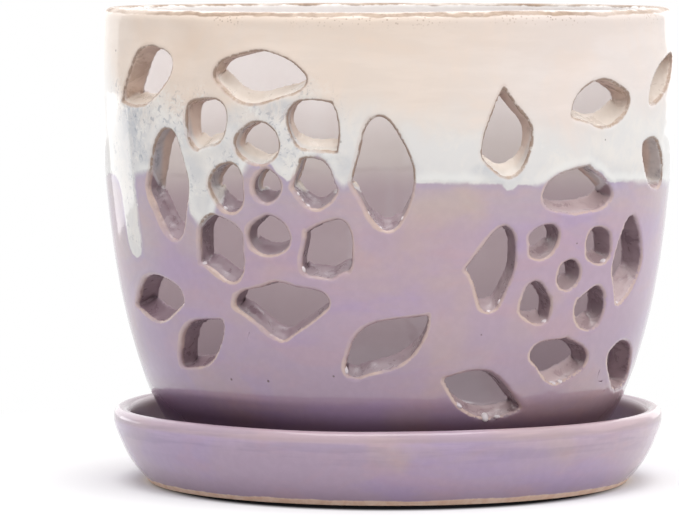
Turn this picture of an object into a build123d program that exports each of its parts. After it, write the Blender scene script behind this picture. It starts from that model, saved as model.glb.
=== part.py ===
from build123d import *
import math
import os

# A thrown orchid pot with flower-shaped air slots, standing in its own saucer.
# Millimetres, +Z up, origin on the axis at the saucer's foot. The slotted side faces -Y,
# and an azimuth of 0 is that way, growing towards +X.

# Pot
pot_diameter = 160.0
pot_height = 125.0
pot_wall = 6.5
pot_floor = 7.0
pot_foot_width = 8.0
pot_foot_recess = 1.5
pot_foot_round = 0.9
pot_floor_corner = 9.0
rim_outer_round = 2.2
rim_inner_round = 2.8
drain_hole_diameter = 20.0
drain_hole_break = 1.0

# Saucer
saucer_inset = 3.0
saucer_height = 21.0
saucer_floor = 7.0
saucer_wall = 5.6
saucer_foot_width = 10.0
saucer_foot_recess = 1.5
saucer_foot_round = 0.8
saucer_floor_corner = 6.0
saucer_lip_inner_round = 2.4
saucer_lip_outer_round = 2.2
lip_groove_radius = 1.8
lip_groove_depth = 0.35

# A petal's length, by which every slot is set out: across as a share of the pot's
# diameter, and upright as a share of its height
petal_across_share = 0.15
petal_upright_share = 0.192
# How far a cut runs past the face that it leaves
overrun = 10.0

# The pot's outer wall, from its foot to its rim: (share of its height, share of its radius)
pot_wall_shares = [
    (0.0, 0.675),
    (0.09, 0.785),
    (0.21, 0.867),
    (0.39, 0.938),
    (0.61, 0.982),
    (0.86, 1.0),
    (1.0, 0.988),
]

# The saucer's outer wall, from its foot to its lip
saucer_wall_shares = [
    (0.0, 0.875),
    (0.12, 0.905),
    (0.4, 0.955),
    (0.66, 0.99),
    (0.82, 1.0),
    (1.0, 0.983),
]
# How far up that side the groove under the lip lies
lip_groove_share = 0.88
# Steps along a wall at which its inner side is set out
inset_steps = 12

# Each slot: its azimuth in degrees, the height of its middle as a share of the pot's
# height above the pot's foot, and its outline, clockwise as seen from outside, in shares
# of a petal's length. A True marks a corner that the knife left; the rest is smooth.
flower_left_shares = {
    "bead": (-24, 0.632, [(0.01, 0.18), (0.11, 0.11), (0.16, 0.0), (0.10, -0.13),
        (-0.02, -0.19), (-0.13, -0.13), (-0.17, 0.0), (-0.10, 0.13)]),
    "ring_top": (-26, 0.720, [(0.06, 0.24), (0.19, 0.17), (0.26, 0.05), (0.25, -0.08),
        (0.17, -0.17), (0.06, -0.22), (-0.08, -0.20), (-0.22, -0.11), (-0.27, 0.0),
        (-0.21, 0.13), (-0.09, 0.21)]),
    "ring_upper_right": (-14, 0.760, [(-0.31, 0.10), (-0.24, 0.23), (-0.06, 0.28),
        (0.19, 0.26, True), (0.25, 0.07), (0.26, -0.12), (0.24, -0.28, True),
        (0.03, -0.26), (-0.19, -0.22), (-0.28, -0.06)]),
    "ring_right": (-14, 0.640, [(-0.16, 0.26, True), (-0.03, 0.27), (0.09, 0.23),
        (0.15, 0.15), (0.19, 0.04), (0.24, -0.07, True), (0.19, -0.17), (0.10, -0.25),
        (0.0, -0.29), (-0.10, -0.26), (-0.19, -0.16), (-0.27, -0.05, True),
        (-0.21, 0.10)]),
    "ring_lower_right": (-12, 0.496, [(-0.24, 0.20, True), (-0.11, 0.27), (0.04, 0.33),
        (0.18, 0.33), (0.25, 0.24), (0.27, 0.08), (0.27, -0.08), (0.24, -0.23, True),
        (0.14, -0.25), (0.04, -0.31), (-0.12, -0.29), (-0.25, -0.27), (-0.29, -0.19),
        (-0.27, 0.0)]),
    "ring_bottom": (-24, 0.528, [(0.01, 0.21), (0.13, 0.16), (0.22, 0.05),
        (0.24, -0.07), (0.12, -0.20), (-0.04, -0.23), (-0.17, -0.19), (-0.26, -0.08),
        (-0.26, 0.04), (-0.15, 0.15)]),
    "ring_lower_left": (-36, 0.496, [(-0.13, 0.34), (0.03, 0.34, True), (0.19, 0.28),
        (0.31, 0.18), (0.32, -0.03), (0.29, -0.28), (0.18, -0.38), (-0.08, -0.28),
        (-0.29, -0.19, True), (-0.27, 0.02), (-0.23, 0.24)]),
    "ring_left": (-33, 0.624, [(0.01, 0.27), (0.12, 0.25), (0.19, 0.14), (0.20, -0.02),
        (0.19, -0.15), (0.12, -0.24), (0.01, -0.27), (-0.09, -0.22), (-0.18, -0.10),
        (-0.24, 0.03), (-0.19, 0.16), (-0.10, 0.24)]),
    "ring_upper_left": (-37, 0.760, [(-0.26, 0.22), (-0.13, 0.26), (0.04, 0.28),
        (0.18, 0.24), (0.25, 0.12), (0.23, -0.03), (0.15, -0.18), (0.0, -0.23),
        (-0.16, -0.29, True), (-0.28, -0.18), (-0.31, 0.02)]),
    "petal_top": (-25, 0.864, [(-0.59, 0.03), (-0.53, 0.13), (-0.36, 0.21),
        (-0.18, 0.25), (-0.01, 0.28), (0.16, 0.25), (0.35, 0.17), (0.48, 0.07),
        (0.54, -0.04), (0.47, -0.13), (0.23, -0.22), (-0.02, -0.29), (-0.24, -0.28),
        (-0.42, -0.17), (-0.55, -0.06)]),
    "petal_right": (-1, 0.664, [(-0.33, -0.09), (-0.29, 0.07), (-0.25, 0.23),
        (-0.21, 0.41), (-0.15, 0.55), (-0.05, 0.61), (0.05, 0.57), (0.16, 0.43),
        (0.26, 0.24), (0.33, 0.06), (0.34, -0.12), (0.30, -0.32), (0.22, -0.51),
        (0.14, -0.62), (0.04, -0.65), (-0.05, -0.60), (-0.16, -0.45), (-0.26, -0.26)]),
    "petal_bottom": (-23, 0.360, [(-0.55, 0.10), (-0.49, 0.19), (-0.28, 0.26),
        (-0.14, 0.30), (-0.01, 0.34), (0.20, 0.30), (0.45, 0.26), (0.56, 0.20),
        (0.59, 0.11), (0.51, 0.01), (0.32, -0.13), (0.15, -0.24), (0.01, -0.31),
        (-0.11, -0.27), (-0.27, -0.14), (-0.45, -0.02)]),
    "petal_low_left": (-45, 0.280, [(-0.40, -0.27), (-0.35, -0.07), (-0.25, 0.11),
        (-0.12, 0.22), (0.07, 0.28), (0.43, 0.30, True), (0.40, 0.15), (0.31, -0.01),
        (0.17, -0.16), (0.02, -0.24), (-0.18, -0.27)]),
    "petal_lower_left": (-58, 0.376, [(-0.57, -0.13, True), (-0.38, 0.05),
        (-0.23, 0.17), (-0.04, 0.24), (0.14, 0.25), (0.35, 0.20), (0.53, 0.10),
        (0.56, 0.0), (0.45, -0.10), (0.23, -0.22), (0.01, -0.28), (-0.25, -0.24)]),
    "petal_left": (-49, 0.624, [(0.06, 0.63), (0.16, 0.59), (0.22, 0.48), (0.28, 0.32),
        (0.33, 0.15), (0.35, 0.0), (0.31, -0.17), (0.26, -0.35), (0.20, -0.52),
        (0.10, -0.61), (-0.02, -0.59), (-0.13, -0.48), (-0.26, -0.29), (-0.35, -0.15),
        (-0.38, -0.03), (-0.32, 0.12), (-0.25, 0.30), (-0.17, 0.47), (-0.06, 0.59)]),
    "petal_upper_left": (-56, 0.856, [(-0.48, -0.29, True), (-0.40, -0.11),
        (-0.28, 0.06), (-0.17, 0.21), (-0.02, 0.31), (0.15, 0.34), (0.36, 0.31),
        (0.53, 0.22), (0.54, 0.10), (0.45, -0.04), (0.30, -0.17), (0.14, -0.27),
        (-0.05, -0.32), (-0.29, -0.32)]),
    "leaf": (0, 0.288, [(-0.45, -0.29), (-0.44, -0.12), (-0.40, 0.03), (-0.32, 0.16),
        (-0.20, 0.25), (-0.02, 0.30), (0.22, 0.33), (0.45, 0.36, True), (0.43, 0.22),
        (0.37, 0.06), (0.26, -0.10), (0.12, -0.21), (-0.06, -0.27), (-0.23, -0.31),
        (-0.38, -0.34)]),
}

flower_right_shares = {
    "bead": (40, 0.432, [(-0.03, 0.18), (0.09, 0.15), (0.15, 0.05), (0.13, -0.06),
        (0.05, -0.14), (-0.07, -0.15), (-0.16, -0.08), (-0.17, 0.04), (-0.12, 0.14)]),
    "ring_upper_right": (48, 0.496, [(-0.23, -0.02), (-0.22, 0.10), (-0.16, 0.18),
        (-0.07, 0.20), (0.05, 0.18), (0.16, 0.12, True), (0.19, -0.01), (0.18, -0.14),
        (0.08, -0.21), (-0.08, -0.20), (-0.20, -0.13)]),
    "ring_lower_right": (47, 0.360, [(-0.22, 0.09, True), (-0.07, 0.18), (0.07, 0.24),
        (0.19, 0.19), (0.26, 0.06), (0.25, -0.10), (0.17, -0.22), (0.02, -0.25),
        (-0.11, -0.21), (-0.20, -0.11)]),
    "ring_lower_left": (32, 0.376, [(-0.20, -0.08, True), (-0.18, 0.09), (-0.12, 0.21),
        (-0.02, 0.25), (0.09, 0.18), (0.20, 0.05, True), (0.21, -0.09), (0.18, -0.20),
        (0.05, -0.23), (-0.09, -0.18)]),
    "ring_upper_left": (33, 0.512, [(-0.21, 0.06), (-0.11, 0.14), (0.03, 0.17),
        (0.15, 0.13), (0.18, 0.03), (0.13, -0.10), (0.03, -0.19), (-0.10, -0.21),
        (-0.19, -0.16), (-0.20, -0.04)]),
    "petal_top": (41, 0.616, [(-0.52, -0.06), (-0.47, 0.08), (-0.34, 0.17),
        (-0.12, 0.23), (0.11, 0.27, True), (0.30, 0.15), (0.46, 0.04), (0.53, -0.06),
        (0.44, -0.17), (0.22, -0.23), (-0.08, -0.25), (-0.32, -0.22), (-0.47, -0.16)]),
    "petal_right": (59, 0.456, [(-0.33, -0.06), (-0.30, 0.14), (-0.22, 0.34),
        (-0.13, 0.47), (-0.02, 0.51), (0.10, 0.43), (0.25, 0.21), (0.33, -0.03),
        (0.23, -0.25), (0.07, -0.40), (-0.12, -0.49), (-0.23, -0.30)]),
    "petal_low_right": (67, 0.224, [(-0.45, 0.18), (-0.34, 0.25), (-0.13, 0.27),
        (0.14, 0.17), (0.34, -0.04), (0.40, -0.22), (0.17, -0.30), (-0.06, -0.27),
        (-0.31, -0.09)]),
    "petal_bottom": (41, 0.248, [(-0.45, 0.09), (-0.40, 0.18), (-0.23, 0.23),
        (0.03, 0.26, True), (0.21, 0.18), (0.39, 0.08), (0.44, -0.02), (0.35, -0.14),
        (0.16, -0.22), (-0.02, -0.27), (-0.17, -0.20), (-0.33, -0.05)]),
    "petal_left": (21, 0.456, [(-0.30, -0.01, True), (-0.17, 0.16), (-0.04, 0.33),
        (0.06, 0.43), (0.16, 0.46), (0.25, 0.39), (0.29, 0.21), (0.28, -0.03),
        (0.21, -0.23), (0.13, -0.40), (0.06, -0.48), (-0.05, -0.48), (-0.12, -0.36),
        (-0.20, -0.14)]),
    "leaf_up": (23, 0.744, [(-0.03, 0.49, True), (0.06, 0.36), (0.17, 0.23),
        (0.28, 0.11), (0.32, -0.02), (0.30, -0.18), (0.24, -0.34), (0.14, -0.46),
        (0.02, -0.49), (-0.12, -0.41), (-0.26, -0.27), (-0.26, -0.09), (-0.20, 0.11),
        (-0.12, 0.31)]),
    "leaf_low": (22, 0.184, [(-0.49, 0.18, True), (-0.31, 0.23), (-0.05, 0.26),
        (0.09, 0.22), (0.23, 0.11), (0.38, -0.05), (0.51, -0.20, True), (0.34, -0.26),
        (0.14, -0.29), (-0.05, -0.26), (-0.24, -0.15), (-0.37, 0.0)]),
    "leaf_top": (46, 0.800, [(-0.47, -0.09), (-0.42, 0.05), (-0.30, 0.17),
        (-0.12, 0.25), (0.09, 0.26), (0.29, 0.19), (0.48, 0.06), (0.43, -0.08),
        (0.27, -0.19), (0.08, -0.25), (-0.12, -0.23), (-0.31, -0.17)]),
    "bud_upper": (71, 0.848, [(-0.49, -0.22), (-0.43, -0.06), (-0.27, 0.09),
        (0.06, 0.22), (0.40, 0.23), (0.29, 0.05), (0.08, -0.11), (-0.19, -0.22)]),
    "bud_lower": (67, 0.664, [(-0.35, 0.25), (-0.19, 0.29), (0.02, 0.25), (0.18, 0.12),
        (0.32, -0.07), (0.31, -0.22), (0.07, -0.28), (-0.14, -0.21), (-0.27, -0.06),
        (-0.36, 0.11)]),
}


# The side of a turned piece as points, from its share table
def wall_points(shares, radius, bottom, height):
    return [(radius * out, bottom + height * up) for up, out in shares]


# The same side moved inwards, square to itself, by a wall's thickness
def inset_points(curve, thickness, count):
    points = []
    for step in range(count + 1):
        place = step / count
        point = curve @ place
        along = curve % place
        points.append((point.X - along.Y * thickness, point.Y + along.X * thickness))
    return points


# The same points with one more, straight on past the last
def run_on(points, reach):
    (start_x, start_y), (end_x, end_y) = points[-2:]
    share = reach / math.dist(points[-2], points[-1])
    return [*points, (end_x + (end_x - start_x) * share, end_y + (end_y - start_y) * share)]


# The closed outline of the space inside a wall, from its inner side to the axis
def draw_hollow(inner_points, top):
    inner_side = Spline(*inner_points)
    low, high = inner_side @ 0, inner_side @ 1
    Polyline(high, (high.X, top), (0, top), (0, low.Y), low)


# A closed outline of splines that meet at the marked corners
def draw_outline(outline_shares, across, upright):
    marks = [len(entry) > 2 for entry in outline_shares]
    points = [(entry[0] * across, entry[1] * upright) for entry in outline_shares]
    if not any(marks):
        Spline(*points, periodic=True)
        return
    first = marks.index(True)
    marks = marks[first:] + marks[:first] + [True]
    points = points[first:] + points[:first] + [points[first]]
    start = 0
    for end in range(1, len(points)):
        if marks[end]:
            Spline(*points[start:end + 1])
            start = end


# A plane on the axis, at a height, that looks out along an azimuth
def radial_plane(azimuth, height):
    angle = math.radians(azimuth)
    return Plane(
        origin=(0, 0, height),
        x_dir=(math.cos(angle), math.sin(angle), 0),
        z_dir=(math.sin(angle), -math.cos(angle), 0),
    )


pot_radius = pot_diameter / 2
pot_base = saucer_floor
pot_top = pot_base + pot_height
pot_foot_radius = pot_radius * pot_wall_shares[0][1]
petal_across = pot_diameter * petal_across_share
petal_upright = pot_height * petal_upright_share
saucer_radius = pot_radius - saucer_inset
saucer_foot_radius = saucer_radius * saucer_wall_shares[0][1]


# Saucer: foot ring, curved side and a rolled lip with a fine groove under it
with BuildPart() as saucer_well:
    with BuildSketch(Plane.XZ):
        with BuildLine():
            outer_side = Spline(
                *wall_points(saucer_wall_shares, saucer_radius, 0, saucer_height),
                mode=Mode.PRIVATE,
            )
            inner_points = inset_points(outer_side, saucer_wall, inset_steps)
            draw_hollow(inner_points, saucer_height + overrun)
        make_face()
    revolve(axis=Axis.Z)
    split(bisect_by=Plane.XY.offset(saucer_floor), keep=Keep.TOP)
    fillet(saucer_well.edges().group_by(Axis.Z)[0], radius=saucer_floor_corner)

with BuildPart() as saucer:
    with BuildSketch(Plane.XZ):
        with BuildLine():
            side = Spline(*wall_points(saucer_wall_shares, saucer_radius, 0, saucer_height))
            Polyline(side @ 1, (0, saucer_height), (0, 0), side @ 0)
        make_face()
        groove_point = side @ lip_groove_share
        groove_along = side % lip_groove_share
        groove_out = lip_groove_radius - lip_groove_depth
        with Locations((
            groove_point.X + groove_along.Y * groove_out,
            groove_point.Y - groove_along.X * groove_out,
        )):
            Circle(lip_groove_radius, mode=Mode.SUBTRACT)
    revolve(axis=Axis.Z)
    add(saucer_well.part, mode=Mode.SUBTRACT)
    with BuildSketch():
        Circle(saucer_foot_radius - saucer_foot_width)
    extrude(amount=saucer_foot_recess, mode=Mode.SUBTRACT)
    lip_edges = saucer.edges().filter_by(GeomType.CIRCLE).group_by(Axis.Z)[-1]
    fillet(lip_edges.sort_by(SortBy.RADIUS)[0], radius=saucer_lip_inner_round)
    lip_edges = saucer.edges().filter_by(GeomType.CIRCLE).group_by(Axis.Z)[-1]
    fillet(lip_edges.sort_by(SortBy.RADIUS)[-1], radius=saucer_lip_outer_round)
    foot_edges = saucer.edges().filter_by(GeomType.CIRCLE).group_by(Axis.Z)[0]
    fillet(foot_edges, radius=saucer_foot_round)
saucer.part.label = "saucer"
export_step(saucer.part, "parts/saucer.step")


# Pot: a thrown shell on a foot ring, its drain hole, and the air slots through its wall
with BuildPart() as pot_hollow:
    with BuildSketch(Plane.XZ):
        with BuildLine():
            outer_wall = Spline(
                *wall_points(pot_wall_shares, pot_radius, pot_base, pot_height),
                mode=Mode.PRIVATE,
            )
            inner_points = inset_points(outer_wall, pot_wall, inset_steps)
            draw_hollow(run_on(inner_points, overrun), pot_top + overrun)
        make_face()
    revolve(axis=Axis.Z)
    split(bisect_by=Plane.XY.offset(pot_base + pot_floor), keep=Keep.TOP)
    fillet(pot_hollow.edges().group_by(Axis.Z)[0], radius=pot_floor_corner)

with BuildPart() as pot:
    with BuildSketch(Plane.XZ):
        with BuildLine():
            wall = Spline(*wall_points(pot_wall_shares, pot_radius, pot_base, pot_height))
            Polyline(wall @ 1, (0, pot_top), (0, pot_base), wall @ 0)
        make_face()
    revolve(axis=Axis.Z)
    add(pot_hollow.part, mode=Mode.SUBTRACT)
    with BuildSketch(Plane.XY.offset(pot_base)):
        Circle(pot_foot_radius - pot_foot_width)
    extrude(amount=pot_foot_recess, mode=Mode.SUBTRACT)
    with Locations((0, 0, pot_base + pot_floor)):
        Hole(drain_hole_diameter / 2, depth=pot_floor + overrun)
    hole_edges = pot.edges().filter_by(GeomType.CIRCLE).sort_by(SortBy.RADIUS)[:2]
    chamfer(hole_edges, length=drain_hole_break)
    rim_edges = pot.edges().filter_by(GeomType.CIRCLE).group_by(Axis.Z)[-1]
    fillet(rim_edges.sort_by(SortBy.RADIUS)[0], radius=rim_inner_round)
    rim_edges = pot.edges().filter_by(GeomType.CIRCLE).group_by(Axis.Z)[-1]
    fillet(rim_edges.sort_by(SortBy.RADIUS)[-1], radius=rim_outer_round)
    foot_edges = pot.edges().filter_by(GeomType.CIRCLE).group_by(Axis.Z)[0]
    fillet(foot_edges, radius=pot_foot_round)
    for flower_shares in (flower_left_shares, flower_right_shares):
        for azimuth, height_share, outline_shares in flower_shares.values():
            slot_height = pot_base + pot_height * height_share
            with BuildSketch(radial_plane(azimuth, slot_height)):
                with BuildLine():
                    draw_outline(outline_shares, petal_across, petal_upright)
                make_face()
            extrude(amount=pot_radius + overrun, mode=Mode.SUBTRACT)
pot.part.label = "pot"
export_step(pot.part, "parts/pot.step")
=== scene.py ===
import math

import bmesh
import bpy
import numpy as np
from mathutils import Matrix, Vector, noise
from mathutils.bvhtree import BVHTree
from mathutils.kdtree import KDTree


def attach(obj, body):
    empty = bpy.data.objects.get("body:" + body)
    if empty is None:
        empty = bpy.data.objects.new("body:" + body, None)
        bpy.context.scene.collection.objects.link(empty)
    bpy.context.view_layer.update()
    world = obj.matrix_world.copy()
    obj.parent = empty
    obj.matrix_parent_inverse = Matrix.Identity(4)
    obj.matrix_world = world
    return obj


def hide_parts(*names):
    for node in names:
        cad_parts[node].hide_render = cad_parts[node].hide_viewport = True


bl_info = {
    "name": "Orchid pot with slots",
    "version": (1, 0, 0),
    "blender": (4, 5, 0),
    "location": "View3D > Sidebar > Orchid pot",
    "description": "A glazed orchid pot with petal-shaped air slots, standing in its saucer",
    "category": "Object",
}

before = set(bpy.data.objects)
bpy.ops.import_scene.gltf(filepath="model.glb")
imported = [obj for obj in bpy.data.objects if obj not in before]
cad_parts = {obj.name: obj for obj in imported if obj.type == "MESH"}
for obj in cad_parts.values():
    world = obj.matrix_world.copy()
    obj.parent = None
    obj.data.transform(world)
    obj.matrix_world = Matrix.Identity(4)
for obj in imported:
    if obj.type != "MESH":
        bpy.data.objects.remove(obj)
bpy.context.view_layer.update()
mm = 0.001

# Heights over the table: the rim, where the wall begins to round over into it, and the
# heights between which the slots' edges lie. Then the radius of the rim's crest.
RIM = 132 * mm
RIM_ROUND = 128 * mm
SLOTTED_FROM, SLOTTED_TO = 12 * mm, 128.5 * mm
CREST_RADIUS = 76.6 * mm

# Distances to cuts and to the glaze line are capped at REACH, unless they get NO_CAP.
# Faces and corners nearer to a cut's edge than CUT_ZONE count as lying in the cut.
REACH = 12 * mm
NO_CAP = 1.0
CUT_ZONE = 5 * mm

# What is closed up after thinning, in so many rounds: slivers of this height beside a cut,
# faces of the plain wall between two heights that lean off the solid's, seen as the
# cosine of the angle between them, and faces nearer to a cut that are folded over
CLOSING_ROUNDS = 6
SLIVER = 0.05 * mm
PLAIN_FROM, PLAIN_TO = 20 * mm, 127 * mm
LEANING, FOLDED = 0.85, -0.2

# Steps along the thrown wall, along a slot's edge and, in mm, along the glaze line, and
# the length of a degree round the wall in mm
WALL_STEPS = 400
EDGE_STEP = 0.2 * mm
LINE_STEP = 0.3
MM_PER_DEGREE = 1.38

# The mark of a place that isn't at the rim, in mm from its crest
OFF_RIM = 9.0

# The throwing ridge inside: its height, half its width, and how far it stands out
RIDGE_HEIGHT, RIDGE_WIDTH, RIDGE_RISE = 109.3 * mm, 0.7 * mm, 0.3 * mm

# A bead's length, width and height, as shares of its size
BEAD_SHAPE = (1.15, 0.9, 0.55)

# The table: its radius, where it begins to glow and where it glows in full, and the
# middle, the outer and the inner edge of the saucer's painted contact shadow, in metres
TABLE_RADIUS = 6.0
GLOW_FROM, GLOW_FULL = 0.09, 0.22
CONTACT_MIDDLE, CONTACT_OUT, CONTACT_IN = (0, -0.007, 0), 0.0725, 0.066

# Glossy glaze, and its colours apart from those in the panel. The cut faces have a
# thin and a thicker colour for their sides, darkened partly as painted shade, and one for
# their floor. POOLED is the floor in the lilac, in painted shade and in painted light. The
# beads' tint is a painted glint, and the foot's bare clay is painted lighter as painted light.
GLAZE_IOR = 1.68
CUT_LILAC = (0.17, 0.115, 0.130), (0.27, 0.190, 0.210)
CUT_CREAM = (0.46, 0.335, 0.270), (0.62, 0.475, 0.400), (0.80, 0.705, 0.620)
CUT_BAND = (0.33, 0.290, 0.290), (0.50, 0.440, 0.420), (0.76, 0.690, 0.620)
CUT_BLUE = (0.36, 0.37, 0.42), (0.50, 0.50, 0.55)
CUT_RIDGE = (0.74, 0.72, 0.74)
POOLED = (0.31, 0.215, 0.245), (0.55, 0.420, 0.420)
WHITE_GRAIN = (0.85, 0.82, 0.78)
WHITE_LIP = (0.84, 0.83, 0.81)
PAINTED_BEAD_GLINT = (0.88, 0.82, 0.82)
ORANGE_CLAY = (0.52, 0.36, 0.25)
FOOT_CLAY_WITH_PAINTED_LIGHT = (1.0, 0.76, 0.62), (0.90, 0.62, 0.47)
WORN_LIP = (0.55, 0.40, 0.40)
POT_PIT = (0.14, 0.095, 0.085)
SAUCER_PIT = (0.16, 0.11, 0.10)

# The pot's outer wall from foot to rim, as shares of its height and of its radius
POT_WALL = [
    (0.0, 0.675), (0.09, 0.785), (0.21, 0.867), (0.39, 0.938),
    (0.61, 0.982), (0.86, 1.0), (1.0, 0.988),
]

# Where the cream glaze ends over the lilac: (azimuth in degrees, height in mm).
# The low points are drips. The slotted front runs from -90 to 90.
GLAZE_LINE = [
    (-180, 86.0), (-172, 84.5), (-166, 79.0), (-162, 78.5), (-158, 84.0), (-146, 86.5),
    (-134, 85.0), (-130, 76.0), (-127, 71.0), (-124, 72.0), (-121, 82.0), (-112, 86.5),
    (-100, 84.0), (-90, 85.0), (-84, 84.9), (-75, 86.6), (-71.6, 85.8), (-69.0, 84.4),
    (-67.6, 81.0), (-67.2, 74.0), (-66.9, 67.5), (-65.6, 65.0), (-63.1, 64.3),
    (-61.0, 65.4), (-60.4, 68.0), (-60.8, 76.0), (-61.0, 84.0), (-60.6, 87.4),
    (-56.5, 88.0), (-51, 88.6), (-44.2, 89.2),
    (-43.3, 85.0), (-42.6, 78.0), (-40.8, 74.7), (-38.7, 74.4), (-36.8, 75.9),
    (-35.6, 80.5), (-31, 84.2), (-29.7, 88.2), (-27.8, 92.0), (-25.5, 92.4),
    (-23.2, 92.3), (-21.5, 89.2), (-19.6, 86.9), (-17.9, 89.3), (-16.1, 92.5),
    (-13.5, 94.6), (-11.5, 91.8), (-10.4, 88.4), (-8.6, 85.8), (-7.1, 87.1),
    (2.1, 87.1), (8.0, 87.1), (17.7, 86.4), (22.4, 86.0), (23.6, 84.6), (24.8, 84.6),
    (25.9, 86.0), (30.5, 85.6), (35.0, 88.6), (42.9, 90.3), (49.3, 86.0), (55.5, 85.4),
    (62, 85.3), (70, 84.4), (80, 83.8), (92, 85.5), (101, 84.0), (106, 77.0),
    (110, 76.0), (114, 83.0), (126, 86.5), (138, 85.0), (143, 80.5), (148, 84.5),
    (162, 87.0), (172, 85.5), (180, 86.0),
]

# Where the pale band, in which the two glazes mix, turns cream: (azimuth, height in mm)
PALE_TOP = [
    (-180, 102), (-150, 104), (-120, 101), (-100, 106), (-84, 114), (-72, 116),
    (-62, 106), (-54, 108), (-49, 112), (-45, 108), (-41, 105), (-37, 109), (-25, 109),
    (-15, 110), (-9, 105), (2, 103.5), (15, 102), (22, 101), (30, 100), (40, 100.5),
    (51, 103.5), (58, 105), (65, 106), (80, 107), (110, 102), (150, 104), (180, 102),
]

# Where the pale band runs blue-grey: (azimuth, height in mm, half width in degrees, half
# height in mm, strength)
BLUE_RUNS = [
    (-60.0, 101.0, 6.5, 9.0, 1.0), (-62.5, 92.0, 4.0, 5.0, 0.9), (-55.0, 92.0, 4.5, 4.5, 0.9),
    (-55.0, 105.0, 4.0, 3.0, 0.6), (-49.0, 95.0, 2.2, 7.0, 0.3), (-43.0, 98.0, 4.0, 4.0, 0.4),
    (-41.0, 90.0, 3.0, 5.0, 0.45), (-33.0, 93.0, 4.0, 5.0, 0.5), (-31.0, 104.0, 3.0, 3.5, 0.5),
    (-22.0, 107.0, 5.5, 3.0, 0.8), (-17.0, 100.0, 3.0, 5.0, 0.6), (-24.0, 93.5, 6.0, 2.5, 0.4),
    (-10.5, 92.0, 4.5, 3.0, 0.6), (-36.0, 82.0, 3.0, 5.0, 0.35), (19.7, 89.5, 4.0, 3.0, 0.6),
    (-63.5, 67.0, 3.0, 3.0, 0.5), (-100.0, 92.0, 12.0, 6.0, 0.7), (-150.0, 92.0, 14.0, 5.0, 0.7),
    (120.0, 91.0, 12.0, 5.0, 0.7), (165.0, 92.0, 10.0, 5.0, 0.6),
]

# How far the rim stands from its full height: (azimuth, mm)
RIM_RISE = [
    (-180, -0.1), (-130, -0.05), (-90, -0.05), (-72, -0.1), (-55, -0.25), (-40, -0.4),
    (-20, -0.45), (0, -0.4), (12, -0.25), (22, -0.08), (30, -0.05), (38, -0.1), (48, -0.25),
    (60, -0.25), (80, -0.1), (130, -0.05), (180, -0.1),
]

# Beads of glaze that gathered on the cut edges: (azimuth, height in mm, size in mm)
BEADS = [
    (-45.3, 76.3, 0.6), (-40.4, 65.0, 0.8), (-16.1, 64.2, 0.9), (-17.3, 84.1, 0.6),
    (-16.3, 82.5, 0.5), (-15.6, 81.2, 0.7), (-1.1, 75.3, 0.5), (-8.7, 36.7, 1.1),
    (17.9, 28.5, 1.1), (23.8, 25.3, 1.2), (26.6, 24.6, 0.9), (21.4, 52.0, 0.8),
    (23.8, 54.6, 0.7), (15.8, 63.7, 0.8), (35.1, 48.9, 0.9), (50.1, 64.4, 0.9),
    (40.8, 32.0, 1.0), (42.2, 33.2, 0.8), (57.3, 53.8, 0.8), (-29.4, 82.9, 0.5),
    (-32.9, 82.0, 0.7), (-21.3, 68.6, 0.5), (-2.7, 79.5, 0.5), (1.2, 78.7, 0.6),
]

# Pits where the glaze broke open: (azimuth, height in mm, size in mm)
PITS = [
    (-68.6, 120.3, 0.55), (47.0, 97.1, 0.4), (-79.2, 50.7, 0.5), (-72.4, 33.5, 0.4),
    (-37.4, 32.7, 0.55), (-27.5, 32.8, 0.55), (19.9, 45.9, 0.4), (-19.2, 104.6, 1.1),
    (49.0, 105.9, 0.9), (50.3, 105.6, 0.6), (40.9, 69.6, 0.4), (-11.9, 34.8, 0.45),
]

# Right half of the saucer's section in mm, from the middle of the floor's underside, and
# the radius and height of the saucer that it was drawn for
SAUCER_SECTION = [
    (0, 1.5), (20, 1.5), (40, 1.5), (54, 1.5), (56.6, 1.4), (57.4, 0.8), (58.0, 0.15),
    (59.5, 0), (63, 0), (66.2, 0), (66.9, 0.05), (67.2, 0.35), (67.6, 0.95), (69.4, 2.8),
    (71.5, 5.3), (73.3, 8.2), (74.9, 11.6), (76.1, 14.6), (76.6, 16.4), (76.75, 17.5),
    (76.7, 18.3), (76.75, 19.2), (76.3, 20.3), (75.3, 20.95), (74.1, 20.95), (72.9, 20.4),
    (72.0, 19.4), (71.6, 18.0), (71.1, 15.6), (70.1, 12.6), (68.4, 9.6), (66.2, 7.9),
    (63.6, 7.15), (60, 7.0), (54, 7.0), (40, 7.0), (20, 7.0), (0, 7.0),
]
SAUCER_DRAWN = 77.0, 21.0


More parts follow.
